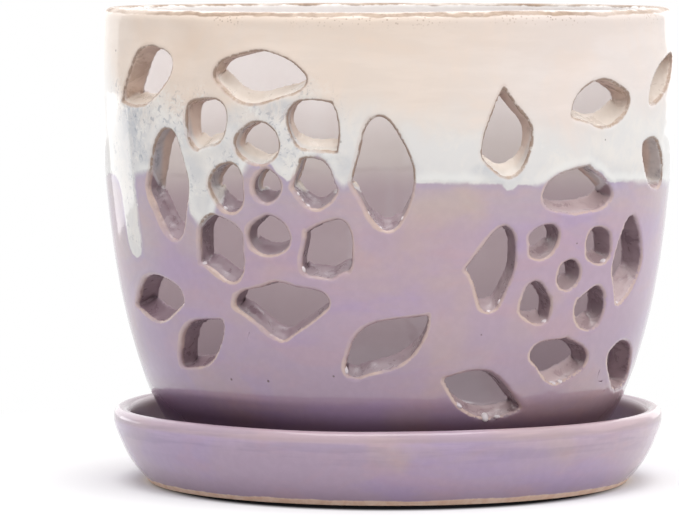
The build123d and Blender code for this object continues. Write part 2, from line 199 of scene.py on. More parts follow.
class PotShape(bpy.types.PropertyGroup):
    grain: bpy.props.FloatProperty(
        name="Mesh grain", description="Size of the faces round the slots",
        default=0.7 * mm, min=0.4 * mm, max=4 * mm, precision=5, unit="LENGTH")
    height: bpy.props.FloatProperty(
        name="Height", description="From the foot to the rim",
        default=125 * mm, precision=5, unit="LENGTH")
    radius: bpy.props.FloatProperty(
        name="Radius", description="Largest radius of the outer wall",
        default=80 * mm, precision=5, unit="LENGTH")
    base: bpy.props.FloatProperty(
        name="Foot height", description="Height of the saucer floor that the foot stands on",
        default=7 * mm, precision=5, unit="LENGTH")
    wall: bpy.props.FloatProperty(
        name="Wall", description="Thickness of the thrown wall",
        default=6.5 * mm, precision=5, unit="LENGTH")
    soft_edge: bpy.props.FloatProperty(
        name="Soft edge", description="How far from a cut the glaze rounds the wall over",
        default=1.5 * mm, precision=5, unit="LENGTH")
    lip_roll: bpy.props.FloatProperty(
        name="Glaze roll", description="How far the glaze stands up beside a cut",
        default=0.1 * mm, precision=6, unit="LENGTH")
    knife: bpy.props.FloatProperty(
        name="Knife marks", description="How uneven the cut faces are",
        default=0.22 * mm, precision=6, unit="LENGTH")
    wobble: bpy.props.FloatProperty(
        name="Wobble", description="How far the thrown wall is out of round",
        default=0.25 * mm, precision=6, unit="LENGTH")
    floor_rise: bpy.props.FloatProperty(
        name="Floor rise", description="How far a slot's floor climbs through the wall",
        default=3.4 * mm, precision=5, unit="LENGTH")
    faces: bpy.props.IntProperty(
        name="Faces", description="Triangles left after thinning", default=186000)


class Glaze(bpy.types.PropertyGroup):
    cream: bpy.props.FloatVectorProperty(
        name="Cream", description="Upper glaze", subtype="COLOR", size=3,
        default=(0.770, 0.635, 0.540))
    inner_cream: bpy.props.FloatVectorProperty(
        name="Inner cream", description="Upper glaze inside", subtype="COLOR", size=3,
        default=(0.960, 0.905, 0.880))
    inner_mauve: bpy.props.FloatVectorProperty(
        name="Inner mauve", description="Lower glaze inside", subtype="COLOR", size=3,
        default=(0.500, 0.410, 0.440))
    pale: bpy.props.FloatVectorProperty(
        name="Pale band", description="Where the two glazes mix", subtype="COLOR", size=3,
        default=(0.770, 0.745, 0.730))
    lilac: bpy.props.FloatVectorProperty(
        name="Lilac", description="Lower glaze", subtype="COLOR", size=3,
        default=(0.462, 0.332, 0.432))
    clay: bpy.props.FloatVectorProperty(
        name="Bare clay", description="Tan clay where the glaze breaks", subtype="COLOR",
        size=3, default=(0.500, 0.330, 0.235))
    edge: bpy.props.FloatVectorProperty(
        name="Broken edge", description="Pale clay under thin lilac at the cuts",
        subtype="COLOR", size=3, default=(0.610, 0.450, 0.400))


class SaucerShape(bpy.types.PropertyGroup):
    radius: bpy.props.FloatProperty(
        name="Radius", description="Largest radius of the saucer",
        default=77 * mm, precision=5, unit="LENGTH")
    height: bpy.props.FloatProperty(
        name="Height", description="From the foot to the lip",
        default=21 * mm, precision=5, unit="LENGTH")
    warp: bpy.props.FloatProperty(
        name="Warp", description="How far the lip is out of level",
        default=0.4 * mm, precision=6, unit="LENGTH")
    steps: bpy.props.IntProperty(
        name="Steps", description="Steps round the saucer", default=96, min=12)


class Studio(bpy.types.PropertyGroup):
    lens: bpy.props.FloatProperty(
        name="Lens", description="Focal length of the camera in mm", default=257.1)
    distance: bpy.props.FloatProperty(
        name="Distance", description="Camera to the pot's axis",
        default=1.351, unit="LENGTH")
    eye: bpy.props.FloatProperty(
        name="Eye height", description="Height of the camera above the table",
        default=0.1522, precision=4, unit="LENGTH")
    pan: bpy.props.FloatProperty(
        name="Pan", description="How far the camera looks to the left of the axis",
        default=math.radians(0.573), subtype="ANGLE")
    tip: bpy.props.FloatProperty(
        name="Tip", description="How far the camera looks down",
        default=math.radians(3.87), subtype="ANGLE")
    side_light: bpy.props.FloatProperty(
        name="Side lights", description="Power of the soft boxes at the sides in watts",
        default=2.4)
    top_light: bpy.props.FloatProperty(
        name="Top light", description="Power of the soft box above in watts", default=12.0)
    surround: bpy.props.FloatProperty(
        name="Surround", description="Brightness of the white room on the object",
        default=1.0)
    slant: bpy.props.FloatProperty(
        name="Slant", description="How much brighter the room is on the right",
        default=0.34)


def piecewise(table, places):
    """The value of a table of (place, value) pairs at each place."""
    return np.interp(places, [row[0] for row in table], [row[1] for row in table])


def smooth_step(low, high, values):
    """0 up to the low limit, 1 from the high one, and a smooth climb between them."""
    share = np.clip((values - low) / (high - low), 0, 1)
    return share * share * (3 - 2 * share)


def cubic_curve(places, values, wanted):
    """The natural cubic curve through some points, at the places wanted."""
    count = len(places)
    gaps = np.diff(places)
    left = np.eye(count)
    right = np.zeros(count)
    for i in range(1, count - 1):
        left[i, i - 1:i + 2] = gaps[i - 1], 2 * (gaps[i - 1] + gaps[i]), gaps[i]
        right[i] = 6 * ((values[i + 1] - values[i]) / gaps[i]
                        - (values[i] - values[i - 1]) / gaps[i - 1])
    bends = np.linalg.solve(left, right)
    i = np.clip(np.searchsorted(places, wanted) - 1, 0, count - 2)
    gap = places[i + 1] - places[i]
    a = (places[i + 1] - wanted) / gap
    b = 1 - a
    return (a * values[i] + b * values[i + 1]
            + ((a ** 3 - a) * bends[i] + (b ** 3 - b) * bends[i + 1]) * gap ** 2 / 6)


class WallSide:
    """The thrown outer wall as a smooth curve of radius over height."""

    def __init__(self, shape):
        heights = np.array([shape.base + up * shape.height for up, _ in POT_WALL])
        radii = np.array([out * shape.radius for _, out in POT_WALL])
        along = np.concatenate(
            [[0], np.cumsum(np.hypot(np.diff(heights), np.diff(radii)))])
        fine = np.linspace(0, along[-1], WALL_STEPS)
        self.z = cubic_curve(along, heights, fine)
        self.r = cubic_curve(along, radii, fine)
        steps = np.hypot(np.gradient(self.z), np.gradient(self.r))
        self.nr = np.gradient(self.z) / steps
        self.nz = -np.gradient(self.r) / steps

    def place(self, azimuth, height):
        """The point of the outer side at an azimuth in degrees and a height."""
        r = float(np.interp(height, self.z, self.r))
        angle = math.radians(azimuth)
        return Vector((r * math.sin(angle), -r * math.cos(angle), height))

    def depth(self, r, z):
        """How far inside the wall's outer side points lie, and the way out there."""
        depth = np.zeros_like(r)
        nr, nz = np.ones_like(r), np.zeros_like(r)
        for _ in range(4):
            foot = z + depth * nz
            nr = np.interp(foot, self.z, self.nr)
            nz = np.interp(foot, self.z, self.nz)
            depth = (np.interp(foot, self.z, self.r) - r) * nr + (foot - z) * nz
        return depth, nr, nz


def add_piece(context, name, work):
    """Put a bmesh into the scene as a smooth object, and free it."""
    mesh = bpy.data.meshes.new(name)
    work.to_mesh(mesh)
    work.free()
    piece = bpy.data.objects.new(name, mesh)
    context.scene.collection.objects.link(piece)
    shade_smooth(mesh)
    return piece


def shade_smooth(mesh):
    for face in mesh.polygons:
        face.use_smooth = True


def apply_modifiers(context, piece):
    """Give the piece its mesh with the modifiers applied."""
    context.view_layer.update()
    evaluated = piece.evaluated_get(context.evaluated_depsgraph_get())
    mesh = bpy.data.meshes.new_from_object(evaluated)
    piece.modifiers.clear()
    old = piece.data
    piece.data = mesh
    bpy.data.meshes.remove(old)


def read_vectors(items, field):
    flat = np.empty(len(items) * 3, np.float32)
    items.foreach_get(field, flat)
    return flat.reshape(-1, 3).astype(float)


def positions(mesh):
    return read_vectors(mesh.vertices, "co")


def put_positions(mesh, points):
    mesh.vertices.foreach_set("co", points.astype(np.float32).ravel())
    mesh.update()


def put_attribute(mesh, name, values):
    layer = mesh.attributes.get(name) or mesh.attributes.new(name, "FLOAT", "POINT")
    layer.data.foreach_set("value", np.asarray(values, np.float32))


def read_attribute(mesh, name):
    values = np.empty(len(mesh.vertices), np.float32)
    mesh.attributes[name].data.foreach_get("value", values)
    return values


def polar(points):
    """The radius, the azimuth in degrees, and the level way out, at each point."""
    r = np.hypot(points[:, 0], points[:, 1])
    ways = points[:, :2] / np.maximum(r, 1e-9)[:, None]
    return r, np.degrees(np.arctan2(points[:, 0], -points[:, 1])), ways


class Skin:
    """A mesh's points and how they lie to the thrown wall."""

    def __init__(self, mesh, side):
        self.points = positions(mesh)
        self.normals = read_vectors(mesh.vertex_normals, "vector")
        self.z = self.points[:, 2].copy()
        self.r, self.azimuth, self.ways = polar(self.points)
        self.depth, self.nr, self.nz = side.depth(self.r, self.z)
        self.out = np.column_stack([self.ways * self.nr[:, None], self.nz])
        self.facing = (self.normals * self.out).sum(1)


def noise_field(points, scale, seed):
    """Smooth noise from about -1 to 1 at each point."""
    shift = Vector((seed * 7.3, seed * 3.1, seed * 5.7))
    return np.array([noise.noise(Vector(p) * scale + shift) for p in points])


def planted(points):
    """A tree that finds the nearest of the points."""
    tree = KDTree(len(points))
    for i, point in enumerate(points):
        tree.insert(point, i)
    tree.balance()
    return tree


def away_from(tree, points, cap=REACH):
    """How far each point lies from the tree's points, up to a cap."""
    return np.array([min(tree.find(point)[2], cap) for point in points])


def glaze_line_tree(side):
    """Points along the edge of the cream glaze, drips and all, on the outer side."""
    points = []
    for (low, low_z), (high, high_z) in zip(GLAZE_LINE, GLAZE_LINE[1:]):
        run = math.hypot((high - low) * MM_PER_DEGREE, high_z - low_z)
        steps = int(run / LINE_STEP) + 1
        for i in range(steps):
            share = i / steps
            points.append(side.place(low + (high - low) * share,
                                     (low_z + (high_z - low_z) * share) * mm))
    return planted(points)


class CutEdges:
    """Points along the slots' edges on one side of the wall, and how the cuts face."""

    def __init__(self):
        self.points = []
        self.facing = []

    def add(self, edge, up, turn):
        steps = max(1, int(edge.calc_length() / EDGE_STEP))
        for i in range(steps + 1):
            self.points.append(edge.verts[0].co.lerp(edge.verts[1].co, i / steps))
            self.facing.append((up, turn))

    def only(self, low, high):
        """The part of these edges where the cut faces up between two limits."""
        part = CutEdges()
        for point, facing in zip(self.points, self.facing):
            if low < facing[0] < high:
                part.points.append(point)
                part.facing.append(facing)
        part.tree = planted(part.points)
        return part

    def away(self, points, cap=REACH):
        return away_from(self.tree, points, cap)

    def nearest(self, points):
        """Distance, and how the cut faces up and sideways, at the nearest edge point."""
        rows = []
        for point in points:
            _, i, away = self.tree.find(point)
            rows.append((away, *self.facing[i]))
        return np.array(rows).T


class Slots:
    """The slots' edges on the outer side and on the inner side of the wall."""

    def __init__(self, solid, side, wall):
        self.outer, self.inner = CutEdges(), CutEdges()
        for edge in solid.edges:
            if len(edge.link_faces) != 2 or edge.calc_face_angle(0) < math.radians(30):
                continue
            middle = (edge.verts[0].co + edge.verts[1].co) / 2
            if not SLOTTED_FROM < middle.z < SLOTTED_TO:
                continue
            r = math.hypot(middle.x, middle.y)
            depth, nr, nz = side.depth(np.array([r]), np.array([middle.z]))
            out = Vector((middle.x / r * nr[0], middle.y / r * nr[0], nz[0]))
            around = Vector((-middle.y / r, middle.x / r, 0))
            cut = min(edge.link_faces, key=lambda face: abs(face.normal.dot(out))).normal
            for edges, level in ((self.outer, 0.0), (self.inner, wall)):
                if abs(depth[0] - level) < 0.5 * mm:
                    edges.add(edge, cut.z, cut.dot(around))
        for edges in (self.outer, self.inner):
            edges.tree = planted(edges.points)

    def near(self, points):
        """How far each point lies from the nearest edge of a cut."""
        return np.minimum(self.outer.away(points), self.inner.away(points))


# Shader building

class Shader:
    """Short ways to lay out nodes in one tree."""

    def __init__(self, tree):
        self.tree = tree

    def feed(self, socket, value):
        """Link another socket into this one, or set its value."""
        if isinstance(value, bpy.types.NodeSocket):
            self.tree.links.new(value, socket)
        elif socket.type == "RGBA":
            socket.default_value = (*value[:3], 1)
        else:
            socket.default_value = value

    def node(self, kind, *values, **settings):
        """A new node with its settings, and its first inputs fed in order."""
        made = self.tree.nodes.new("ShaderNode" + kind)
        for key, value in settings.items():
            setattr(made, key, value)
        for socket, value in zip(made.inputs, values):
            self.feed(socket, value)
        return made

    def math(self, operation, *values, clamp=False):
        return self.node("Math", *values, operation=operation, use_clamp=clamp).outputs[0]

    def times(self, first, *others):
        """The product of some values."""
        for other in others:
            first = self.math("MULTIPLY", first, other)
        return first

    def plus(self, first, *others, clamp=False):
        """The sum of some values."""
        for other in others:
            first = self.math("ADD", first, other, clamp=clamp)
        return first

    def minus(self, first, second):
        return self.math("SUBTRACT", first, second)

    def most(self, first, second):
        return self.math("MAXIMUM", first, second)

    def uneven(self, value, pattern, width):
        """A value that a noise pattern pushes up and down over a width."""
        return self.plus(value, self.times(self.minus(pattern, 0.5), width))

    def span(self, value, low, high, to_low=0.0, to_high=1.0):
        """A smooth climb between two results as the value goes from low to high."""
        return self.node("MapRange", value, low, high, to_low, to_high,
                         interpolation_type="SMOOTHSTEP").outputs[0]

    def mix(self, share, first, second, blend="MIX"):
        made = self.node("Mix", share, data_type="RGBA", blend_type=blend)
        self.feed(made.inputs[6], first)
        self.feed(made.inputs[7], second)
        return made.outputs[2]

    def tints(self, colour, *layers):
        """A colour under layers of (share, tint), each of which multiplies it."""
        for share, tint in layers:
            colour = self.mix(share, colour, tint, "MULTIPLY")
        return colour

    def noise(self, place, scale, detail=2.0, rough=0.5, warp=0.0):
        made = self.node("TexNoise", place)
        for name, value in (("Scale", scale), ("Detail", detail), ("Roughness", rough),
                            ("Distortion", warp)):
            made.inputs[name].default_value = value
        return made.outputs["Fac"]

    def cells(self, place, scale):
        made = self.node("TexVoronoi", place)
        self.feed(made.inputs["Scale"], scale)
        return made.outputs

    def place(self):
        return self.node("TexCoord").outputs["Object"]

    def scaled(self, place, x, y, z):
        """Coordinates squeezed along each axis, so that a pattern runs along another."""
        mapping = self.node("Mapping", place)
        mapping.inputs["Scale"].default_value = (x, y, z)
        return mapping.outputs[0]

    def apart(self, place, point):
        """How far a place is from a point."""
        return self.node("VectorMath", place, point, operation="DISTANCE").outputs["Value"]

    def attribute(self, name):
        return self.node("Attribute", attribute_name=name).outputs["Fac"]

    def group(self, name, build, **values):
        """The outputs of a shared group, which is built when it is first wanted."""
        made = self.node("Group", node_tree=bpy.data.node_groups.get(name) or build(name))
        for key, value in values.items():
            self.feed(made.inputs[key.replace("_", " ")], value)
        return made.outputs


def node_group(name, inputs, outputs):
    """Short ways into a new shader group, and its inputs and outputs by name."""
    tree = bpy.data.node_groups.new(name, "ShaderNodeTree")
    for label, kind, default in inputs:
        socket = tree.interface.new_socket(
            name=label, in_out="INPUT", socket_type="NodeSocket" + kind)
        socket.default_value = default
    for label, kind in outputs:
        tree.interface.new_socket(
            name=label, in_out="OUTPUT", socket_type="NodeSocket" + kind)
    given, wanted = tree.nodes.new("NodeGroupInput"), tree.nodes.new("NodeGroupOutput")
    return Shader(tree), given.outputs, wanted.inputs


def new_material(name):
    """A new material, short ways into its tree, and its shader."""
    material = bpy.data.materials.new(name)
    material.use_nodes = True
    s = Shader(material.node_tree)
    return material, s, material.node_tree.nodes["Principled BSDF"]


def finish_glaze(s, shader, colour, rough, relief):
    """Send a glaze's colour, roughness and relief to its shader."""
    bump = s.node("Bump")
    for socket, value in (
            (bump.inputs["Strength"], 0.5), (bump.inputs["Distance"], 0.3 * mm),
            (bump.inputs["Height"], relief), (shader.inputs["Base Color"], colour),
            (shader.inputs["Roughness"], rough), (shader.inputs["Normal"], bump.outputs[0]),
            (shader.inputs["IOR"], GLAZE_IOR)):
        s.feed(socket, value)


def pinhole_group(name):
    """Sparse pits where gas left the glaze."""
    s, given, wanted = node_group(
        name,
        [("Place", "Vector", (0, 0, 0)), ("Cells per m", "Float", 70.0),
         ("Size", "Float", 0.03), ("Share", "Float", 0.3)],
        [("Mask", "Float")])
    cells = s.cells(given["Place"], given["Cells per m"])
    pick = s.node("SeparateColor", cells["Color"]).outputs
    chosen = s.math("LESS_THAN", pick[0], given["Share"])
    size = s.times(given["Size"], s.plus(0.6, pick[1]))
    inside = s.math("SUBTRACT", 1.0, s.math("DIVIDE", cells["Distance"], size), clamp=True)
    s.feed(wanted["Mask"], s.times(inside, chosen))
    return s.tree


def lilac_group(name):
    """The lilac glaze: clouds of blue, pink and tan, and faint bands from the wheel."""
    s, given, wanted = node_group(
        name, [("Place", "Vector", (0, 0, 0)), ("Lilac", "Color", (0.5, 0.4, 0.5, 1))],
        [("Color", "Color"), ("Height", "Float")])
    place = given["Place"]
    banded = s.scaled(place, 1.0, 1.0, 2.4)
    fine = s.noise(place, 420.0, 3.0, 0.6)
    s.feed(wanted["Color"], s.tints(
        given["Lilac"],
        (s.span(s.noise(banded, 26.0, 4.0, 0.6, 0.6), 0.42, 0.62), (0.95, 0.95, 1.07)),
        (s.span(s.noise(banded, 41.0, 4.0, 0.6, 0.8), 0.46, 0.66), (1.05, 1.0, 0.96)),
        (s.span(s.noise(place, 22.0, 3.0, 0.5, 0.4), 0.50, 0.66), (1.09, 1.09, 0.91)),
        (s.span(fine, 0.35, 0.7), (1.04, 1.04, 1.04))))
    s.feed(wanted["Height"], s.plus(s.times(s.noise(banded, 48.0), 0.8),
                                    s.times(fine, 0.06)))
    return s.tree


def cream_group(name):
    """The cream glaze and the pale, speckled band under it."""
    s, given, wanted = node_group(
        name,
        [("Place", "Vector", (0, 0, 0)), ("Above", "Float", 0.0), ("Over line", "Float", 0.0),
         ("Speckle", "Float", 0.0), ("Sunny", "Float", 0.0), ("Blue", "Float", 0.0),
         ("Cream", "Color", (0.8, 0.7, 0.6, 1)), ("Pale", "Color", (0.7, 0.7, 0.7, 1))],
        [("Color", "Color")])
    place, above = given["Place"], given["Above"]
    blotch = s.noise(place, 45.0, 4.0, 0.6, 0.8)
    cloud = s.noise(place, 24.0, 3.0, 0.55, 0.5)
    streak = s.noise(s.scaled(place, 1.0, 1.0, 5.0), 40.0, 4.0, 0.6)
    edge = s.uneven(s.uneven(above, blotch, 18.0), cloud, 14.0)
    cream = s.tints(
        given["Cream"],
        (given["Sunny"], (0.99, 1.04, 1.13)),
        (s.span(blotch, 0.42, 0.66), (1.04, 1.02, 1.0)),
        (s.times(s.span(cloud, 0.48, 0.7), 0.9), (0.955, 0.925, 0.89)),
        (s.span(streak, 0.44, 0.62), (1.03, 1.035, 1.04)),
        (s.times(s.span(edge, 24.0, 10.0), 0.9), (1.05, 1.08, 1.11)))

    # Blue-grey runs in the band on the left, and a bluish edge along the line elsewhere
    run = s.noise(s.scaled(place, 1.0, 1.0, 0.6), 150.0, 5.0, 0.7, 0.6)
    blue = s.times(given["Blue"], s.span(run, 0.34, 0.58, 0.3, 1.0))
    fringe = s.times(s.span(given["Over line"], 7.0, 1.0),
                     s.span(s.noise(place, 60.0, 4.0, 0.6), 0.44, 0.62), 0.5)
    blue = s.most(blue, fringe)
    pale = s.tints(
        given["Pale"],
        (s.span(s.noise(place, 80.0, 4.0, 0.7, 0.5), 0.42, 0.62), (1.07, 1.05, 1.02)),
        (blue, (0.70, 0.735, 0.80)))
    share = s.times(s.span(edge, -8.0, 6.0),
                    s.minus(1.0, s.times(blue, s.span(above, 9.0, 0.0))))
    colour = s.mix(share, pale, cream)

    # Grains: white ones that stand out of the band, and grey dots between them
    grains = s.noise(place, 620.0, 3.0, 0.7, 0.5)
    band = s.times(given["Speckle"], s.span(above, 9.0, -2.0),
                   s.span(s.noise(place, 95.0, 3.0, 0.6), 0.40, 0.58))
    colour = s.mix(s.times(s.span(grains, 0.52, 0.62), band, 0.7), colour, WHITE_GRAIN)
    colour = s.tints(
        colour, (s.times(s.span(grains, 0.45, 0.36), band, 0.95), (0.62, 0.64, 0.70)))
    s.feed(wanted["Color"], colour)
    return s.tree


def pit_mask(s, place, side, ragged):
    """Dark pits at the places of the table."""
    mask = 0.0
    for azimuth, height, size in PITS:
        away = s.plus(s.apart(place, side.place(azimuth, height * mm)),
                      s.times(ragged, 0.5 * size * mm))
        mask = s.most(mask, s.span(away, size * 1.1 * mm, size * 0.5 * mm))
    return mask


def shaded_lilac(s, lilac, above, height, left):
    """Greyer lilac under the line and bluer right at it, and painted shade that darkens it to
    the foot by steps.

    The painted shade is darkest on the left, where the saucer's shadow falls. Heights are in mm.
    """
    shaded = s.minus(height, left)
    return s.tints(
        lilac,
        (s.span(above, -15.0, -3.0), (1.04, 1.12, 0.98)),
        (s.span(height, 57.0, 31.0), (0.86, 0.86, 0.88)),
        (s.span(shaded, 30.5, 22.5), (0.74, 0.71, 0.72)),
        (s.times(left, s.span(shaded, 27.5, 25.5)), (0.70, 0.68, 0.74)),
        (s.span(shaded, 25.0, 19.5), (0.50, 0.44, 0.46)),
        (s.span(above, -2.4, -0.3), (0.93, 0.96, 1.06)))


def inside_colour(s, glaze, line, wavy):
    """Inside, the cream fades softly into a greyer mauve; painted shade darkens the cream lower
    down and the mauve to the floor.
    """
    pale = s.tints(glaze.inner_cream, (s.span(line, 26.0, 2.0), (0.72, 0.70, 0.69)))
    mauve = s.tints(glaze.inner_mauve, (s.span(line, -20.0, -66.0), (0.50, 0.47, 0.50)))
    inner = s.mix(s.span(s.plus(line, s.times(wavy, 3.0)), -6.0, 6.0), mauve, pale)
    return s.tints(inner, (s.times(s.span(wavy, 0.35, 0.65), 0.35), (0.95, 0.93, 0.92)))


def cut_colour(s, above, cream_side, up, patchy, blue, sunny):
    """Cut faces took less glaze: dark at the sides, partly as painted shade, and paler on the
    floors where it pooled, partly as painted light on faces that look up.
    """
    floor = s.span(up, 0.1, 0.8)
    mottled = s.span(patchy, 0.38, 0.6)
    # The floors' colours for the shade and for the light, chosen by the sunny mask, are painted
    # shade and painted light
    pooled = s.tints(s.mix(sunny, *POOLED), (s.span(patchy, 0.6, 0.36), (0.84, 0.81, 0.83)))
    lilac = s.mix(floor, s.mix(mottled, *CUT_LILAC), pooled)
    cream = s.mix(floor, s.mix(mottled, *CUT_CREAM[:2]), CUT_CREAM[2])
    band = s.mix(floor, s.mix(mottled, *CUT_BAND[:2]), CUT_BAND[2])
    band = s.mix(s.times(blue, 0.8), band, s.mix(mottled, *CUT_BLUE))
    over = s.mix(s.span(cream_side, -6.0, 4.0), band, cream)
    ridge = s.times(s.span(s.math("ABSOLUTE", above), 0.9, 0.3),
                    s.span(patchy, 0.35, 0.55), 0.7)
    return s.mix(ridge, s.mix(s.span(above, -1.0, 1.0), lilac, over), CUT_RIDGE)


def pot_material(glaze, side):
    """Cream over lilac, meeting in a pale band with drips, and tan where it breaks."""
    material, s, shader = new_material("Glazed pot")
    place = s.place()
    (line, cream_side, edge, edge_up, edge_turn, depth, rim, up, cut, sunny, bead, blue,
     speckle, inner_edge) = (s.attribute(name) for name in (
         "line_mm", "cream_mm", "edge_mm", "edge_up", "edge_turn", "depth", "rim_mm", "up",
         "cut", "sunny", "bead", "blue", "speckle", "inner_edge"))
    ragged = s.noise(place, 320.0, 4.0, 0.6, 0.4)
    wavy = s.noise(place, 110.0, 3.0, 0.6)
    patchy = s.noise(place, 150.0, 4.0, 0.65, 0.5)
    above = s.uneven(s.uneven(line, wavy, 2.2), ragged, 0.9)
    low = s.span(above, 1.5, -1.5)
    lilac = s.group("Lilac glaze", lilac_group, Place=place, Lilac=glaze.lilac)
    cream = s.group("Cream glaze", cream_group, Place=place, Above=cream_side,
                    Over_line=above, Speckle=speckle, Sunny=sunny, Blue=blue,
                    Cream=glaze.cream, Pale=glaze.pale)

    x, y, z = s.node("SeparateXYZ", place).outputs
    under = shaded_lilac(s, lilac["Color"], above, s.times(z, 1000.0),
                         s.span(x, -0.005, -0.05))

    # In places the cream ends in a white lip
    lip = s.times(s.span(above, 0.3, 1.1), s.span(above, 3.6, 1.4),
                  s.span(s.noise(place, 38.0), 0.40, 0.58, 0.15, 0.75))
    over = s.mix(lip, cream["Color"], WHITE_LIP)
    soft = s.span(s.noise(place, 45.0), 0.38, 0.62, 0.3, 1.3)
    colour = s.mix(s.span(above, s.times(soft, -1.0), soft), under, over)

    colour = s.mix(s.span(depth, 0.86, 0.97), colour, inside_colour(s, glaze, line, wavy))
    # Painted light: the inner wall just under the rim is lightened to a whiter cream, where
    # light falls in from above
    under_rim = s.times(s.span(depth, 0.6, 0.9), s.span(line, 38.0, 43.0))
    colour = s.mix(under_rim, colour, s.tints(glaze.inner_cream, (1.0, (1.04, 1.06, 1.05))))
    # Painted shade darkens the inner edges of the cuts, with a rougher glaze there
    colour = s.tints(colour, (s.times(inner_edge, 0.6), (0.72, 0.66, 0.66)))
    colour = s.mix(s.times(cut, 0.92), colour,
                   cut_colour(s, above, cream_side, up, patchy, blue, sunny))

    # The glaze draws back from the edges of the cuts: a pale halo in the lilac, most
    # below and to the left of a slot, and thin tan lines in the cream. The halo is partly a
    # painted highlight: the lit share makes it strongest where the rounded glaze catches the
    # light.
    breaks = s.uneven(edge, ragged, 0.9)
    lit = s.plus(s.times(edge_up, 0.30), s.times(edge_turn, 0.15))
    lit = s.plus(lit, 0.72, clamp=True)
    broken = s.span(s.noise(place, 70.0, 3.0, 0.6), 0.36, 0.54, 0.3, 1.0)
    reach = s.plus(s.minus(0.95, s.times(sunny, 0.2)),
                   s.times(s.span(edge_turn, 0.3, 0.9), 0.6))
    halo = s.times(s.span(breaks, reach, s.times(reach, 0.65)), lit, broken,
                   s.span(low, 0.0, 1.0, 0.35, 1.0))
    colour = s.mix(halo, colour, glaze.edge)
    orange = s.times(s.span(breaks, 1.0, 0.5), s.span(edge_up, 0.2, 0.7),
                     s.span(above, 0.0, 2.0), s.span(patchy, 0.38, 0.55, 0.1, 0.75))
    colour = s.mix(orange, colour, ORANGE_CLAY)
    clay = s.tints(glaze.clay, (s.span(ragged, 0.35, 0.65), (0.72, 0.66, 0.62)))
    bare = s.times(s.span(breaks, 0.75, 0.4), s.span(low, 0.0, 1.0, 0.9, 0.2),
                   s.span(edge_up, 0.9, 0.3, 0.35, 1.0))
    colour = s.mix(bare, colour, s.tints(clay, (1.0, (0.62, 0.60, 0.60))))

    # Along the crest of the rim the clay shows in a ragged tan line, with dots below it
    crest = s.minus(s.uneven(s.uneven(rim, wavy, 1.8), ragged, 0.8),
                    s.span(y, 0.03, -0.05, 0.0, 0.8))
    worn = s.times(s.span(crest, -0.75, -0.35), s.span(crest, 0.7, 0.3),
                   s.span(s.noise(place, 52.0, 3.0), 0.36, 0.56, 0.55, 1.0))
    dotted = s.times(s.span(s.cells(place, 950.0)["Distance"], 0.32, 0.16),
                     s.span(rim, 5.0, 1.5), s.span(rim, 0.0, 1.0),
                     s.span(s.noise(place, 33.0), 0.50, 0.62), 0.6)
    worn = s.most(worn, dotted)
    colour = s.mix(worn, colour, s.tints(clay, (1.0, (0.86, 0.92, 0.92))))
    # Painted glint: the beads are lightened towards white in place of their highlights
    colour = s.mix(s.times(bead, 0.65), colour, PAINTED_BEAD_GLINT)

    pinholes = s.group("Pinholes", pinhole_group, Place=place)["Mask"]
    pitted = s.most(s.times(pinholes, 0.7), pit_mask(s, place, side, ragged))
    colour = s.mix(s.times(pitted, 0.8), colour, POT_PIT)

    rough = s.plus(s.plus(0.07, s.times(s.most(bare, worn), 0.35),
                          s.times(cut, s.span(patchy, 0.4, 0.6, 0.18, 0.4))),
                   s.times(inner_edge, 0.7), clamp=True)
    relief = s.plus(lilac["Height"], s.times(s.span(above, -0.8, 1.2), 0.5))
    relief = s.plus(s.minus(relief, s.times(pitted, 1.2)), s.times(cut, ragged, 0.8))
    finish_glaze(s, shader, colour, rough, relief)
    return material


def saucer_material(glaze):
    """The pot's lilac, with soft streaks from the wheel, painted shade in the well, and bare
    clay at the foot, lightened by painted light.
    """
    material, s, shader = new_material("Glazed saucer")
    place = s.place()
    foot, lip, well = (s.attribute(name) for name in ("foot_mm", "lip", "well"))
    ragged = s.noise(place, 320.0, 4.0, 0.6, 0.4)
    wavy = s.noise(place, 60.0, 3.0, 0.6)
    lilac = s.group("Lilac glaze", lilac_group, Place=place, Lilac=glaze.lilac)
    colour = s.tints(lilac["Color"], (1.0, (1.02, 1.04, 1.08)))
    colour = s.mix(s.times(lip, 0.55), colour, WORN_LIP)
    streaks = s.noise(s.scaled(place, 1.0, 1.0, 14.0), 26.0, 3.0, 0.55)
    # Painted shade darkens the well inside the saucer, under the pot
    colour = s.tints(
        colour, (well, (0.86, 0.79, 0.76)),
        (s.times(s.span(foot, 8.0, 14.0), s.span(streaks, 0.46, 0.60), 0.8),
         (0.86, 0.87, 0.90)))
    # The foot's bare clay colours are lighter than the clay, as painted light on the foot
    bare = s.span(s.uneven(s.uneven(foot, wavy, 1.4), ragged, 0.5), 0.5, 0.1)
    colour = s.mix(bare, colour, s.mix(s.span(ragged, 0.35, 0.65), *FOOT_CLAY_WITH_PAINTED_LIGHT))
    pinholes = s.group("Pinholes", pinhole_group, Place=place)["Mask"]
    colour = s.mix(s.times(pinholes, 0.8), colour, SAUCER_PIT)
    rough = s.plus(0.09, s.times(bare, 0.55), s.times(well, 0.4))
    relief = s.plus(s.minus(lilac["Height"], s.times(pinholes, 1.2)),
                    s.times(bare, ragged, 0.8))
    finish_glaze(s, shader, colour, rough, relief)
    return material


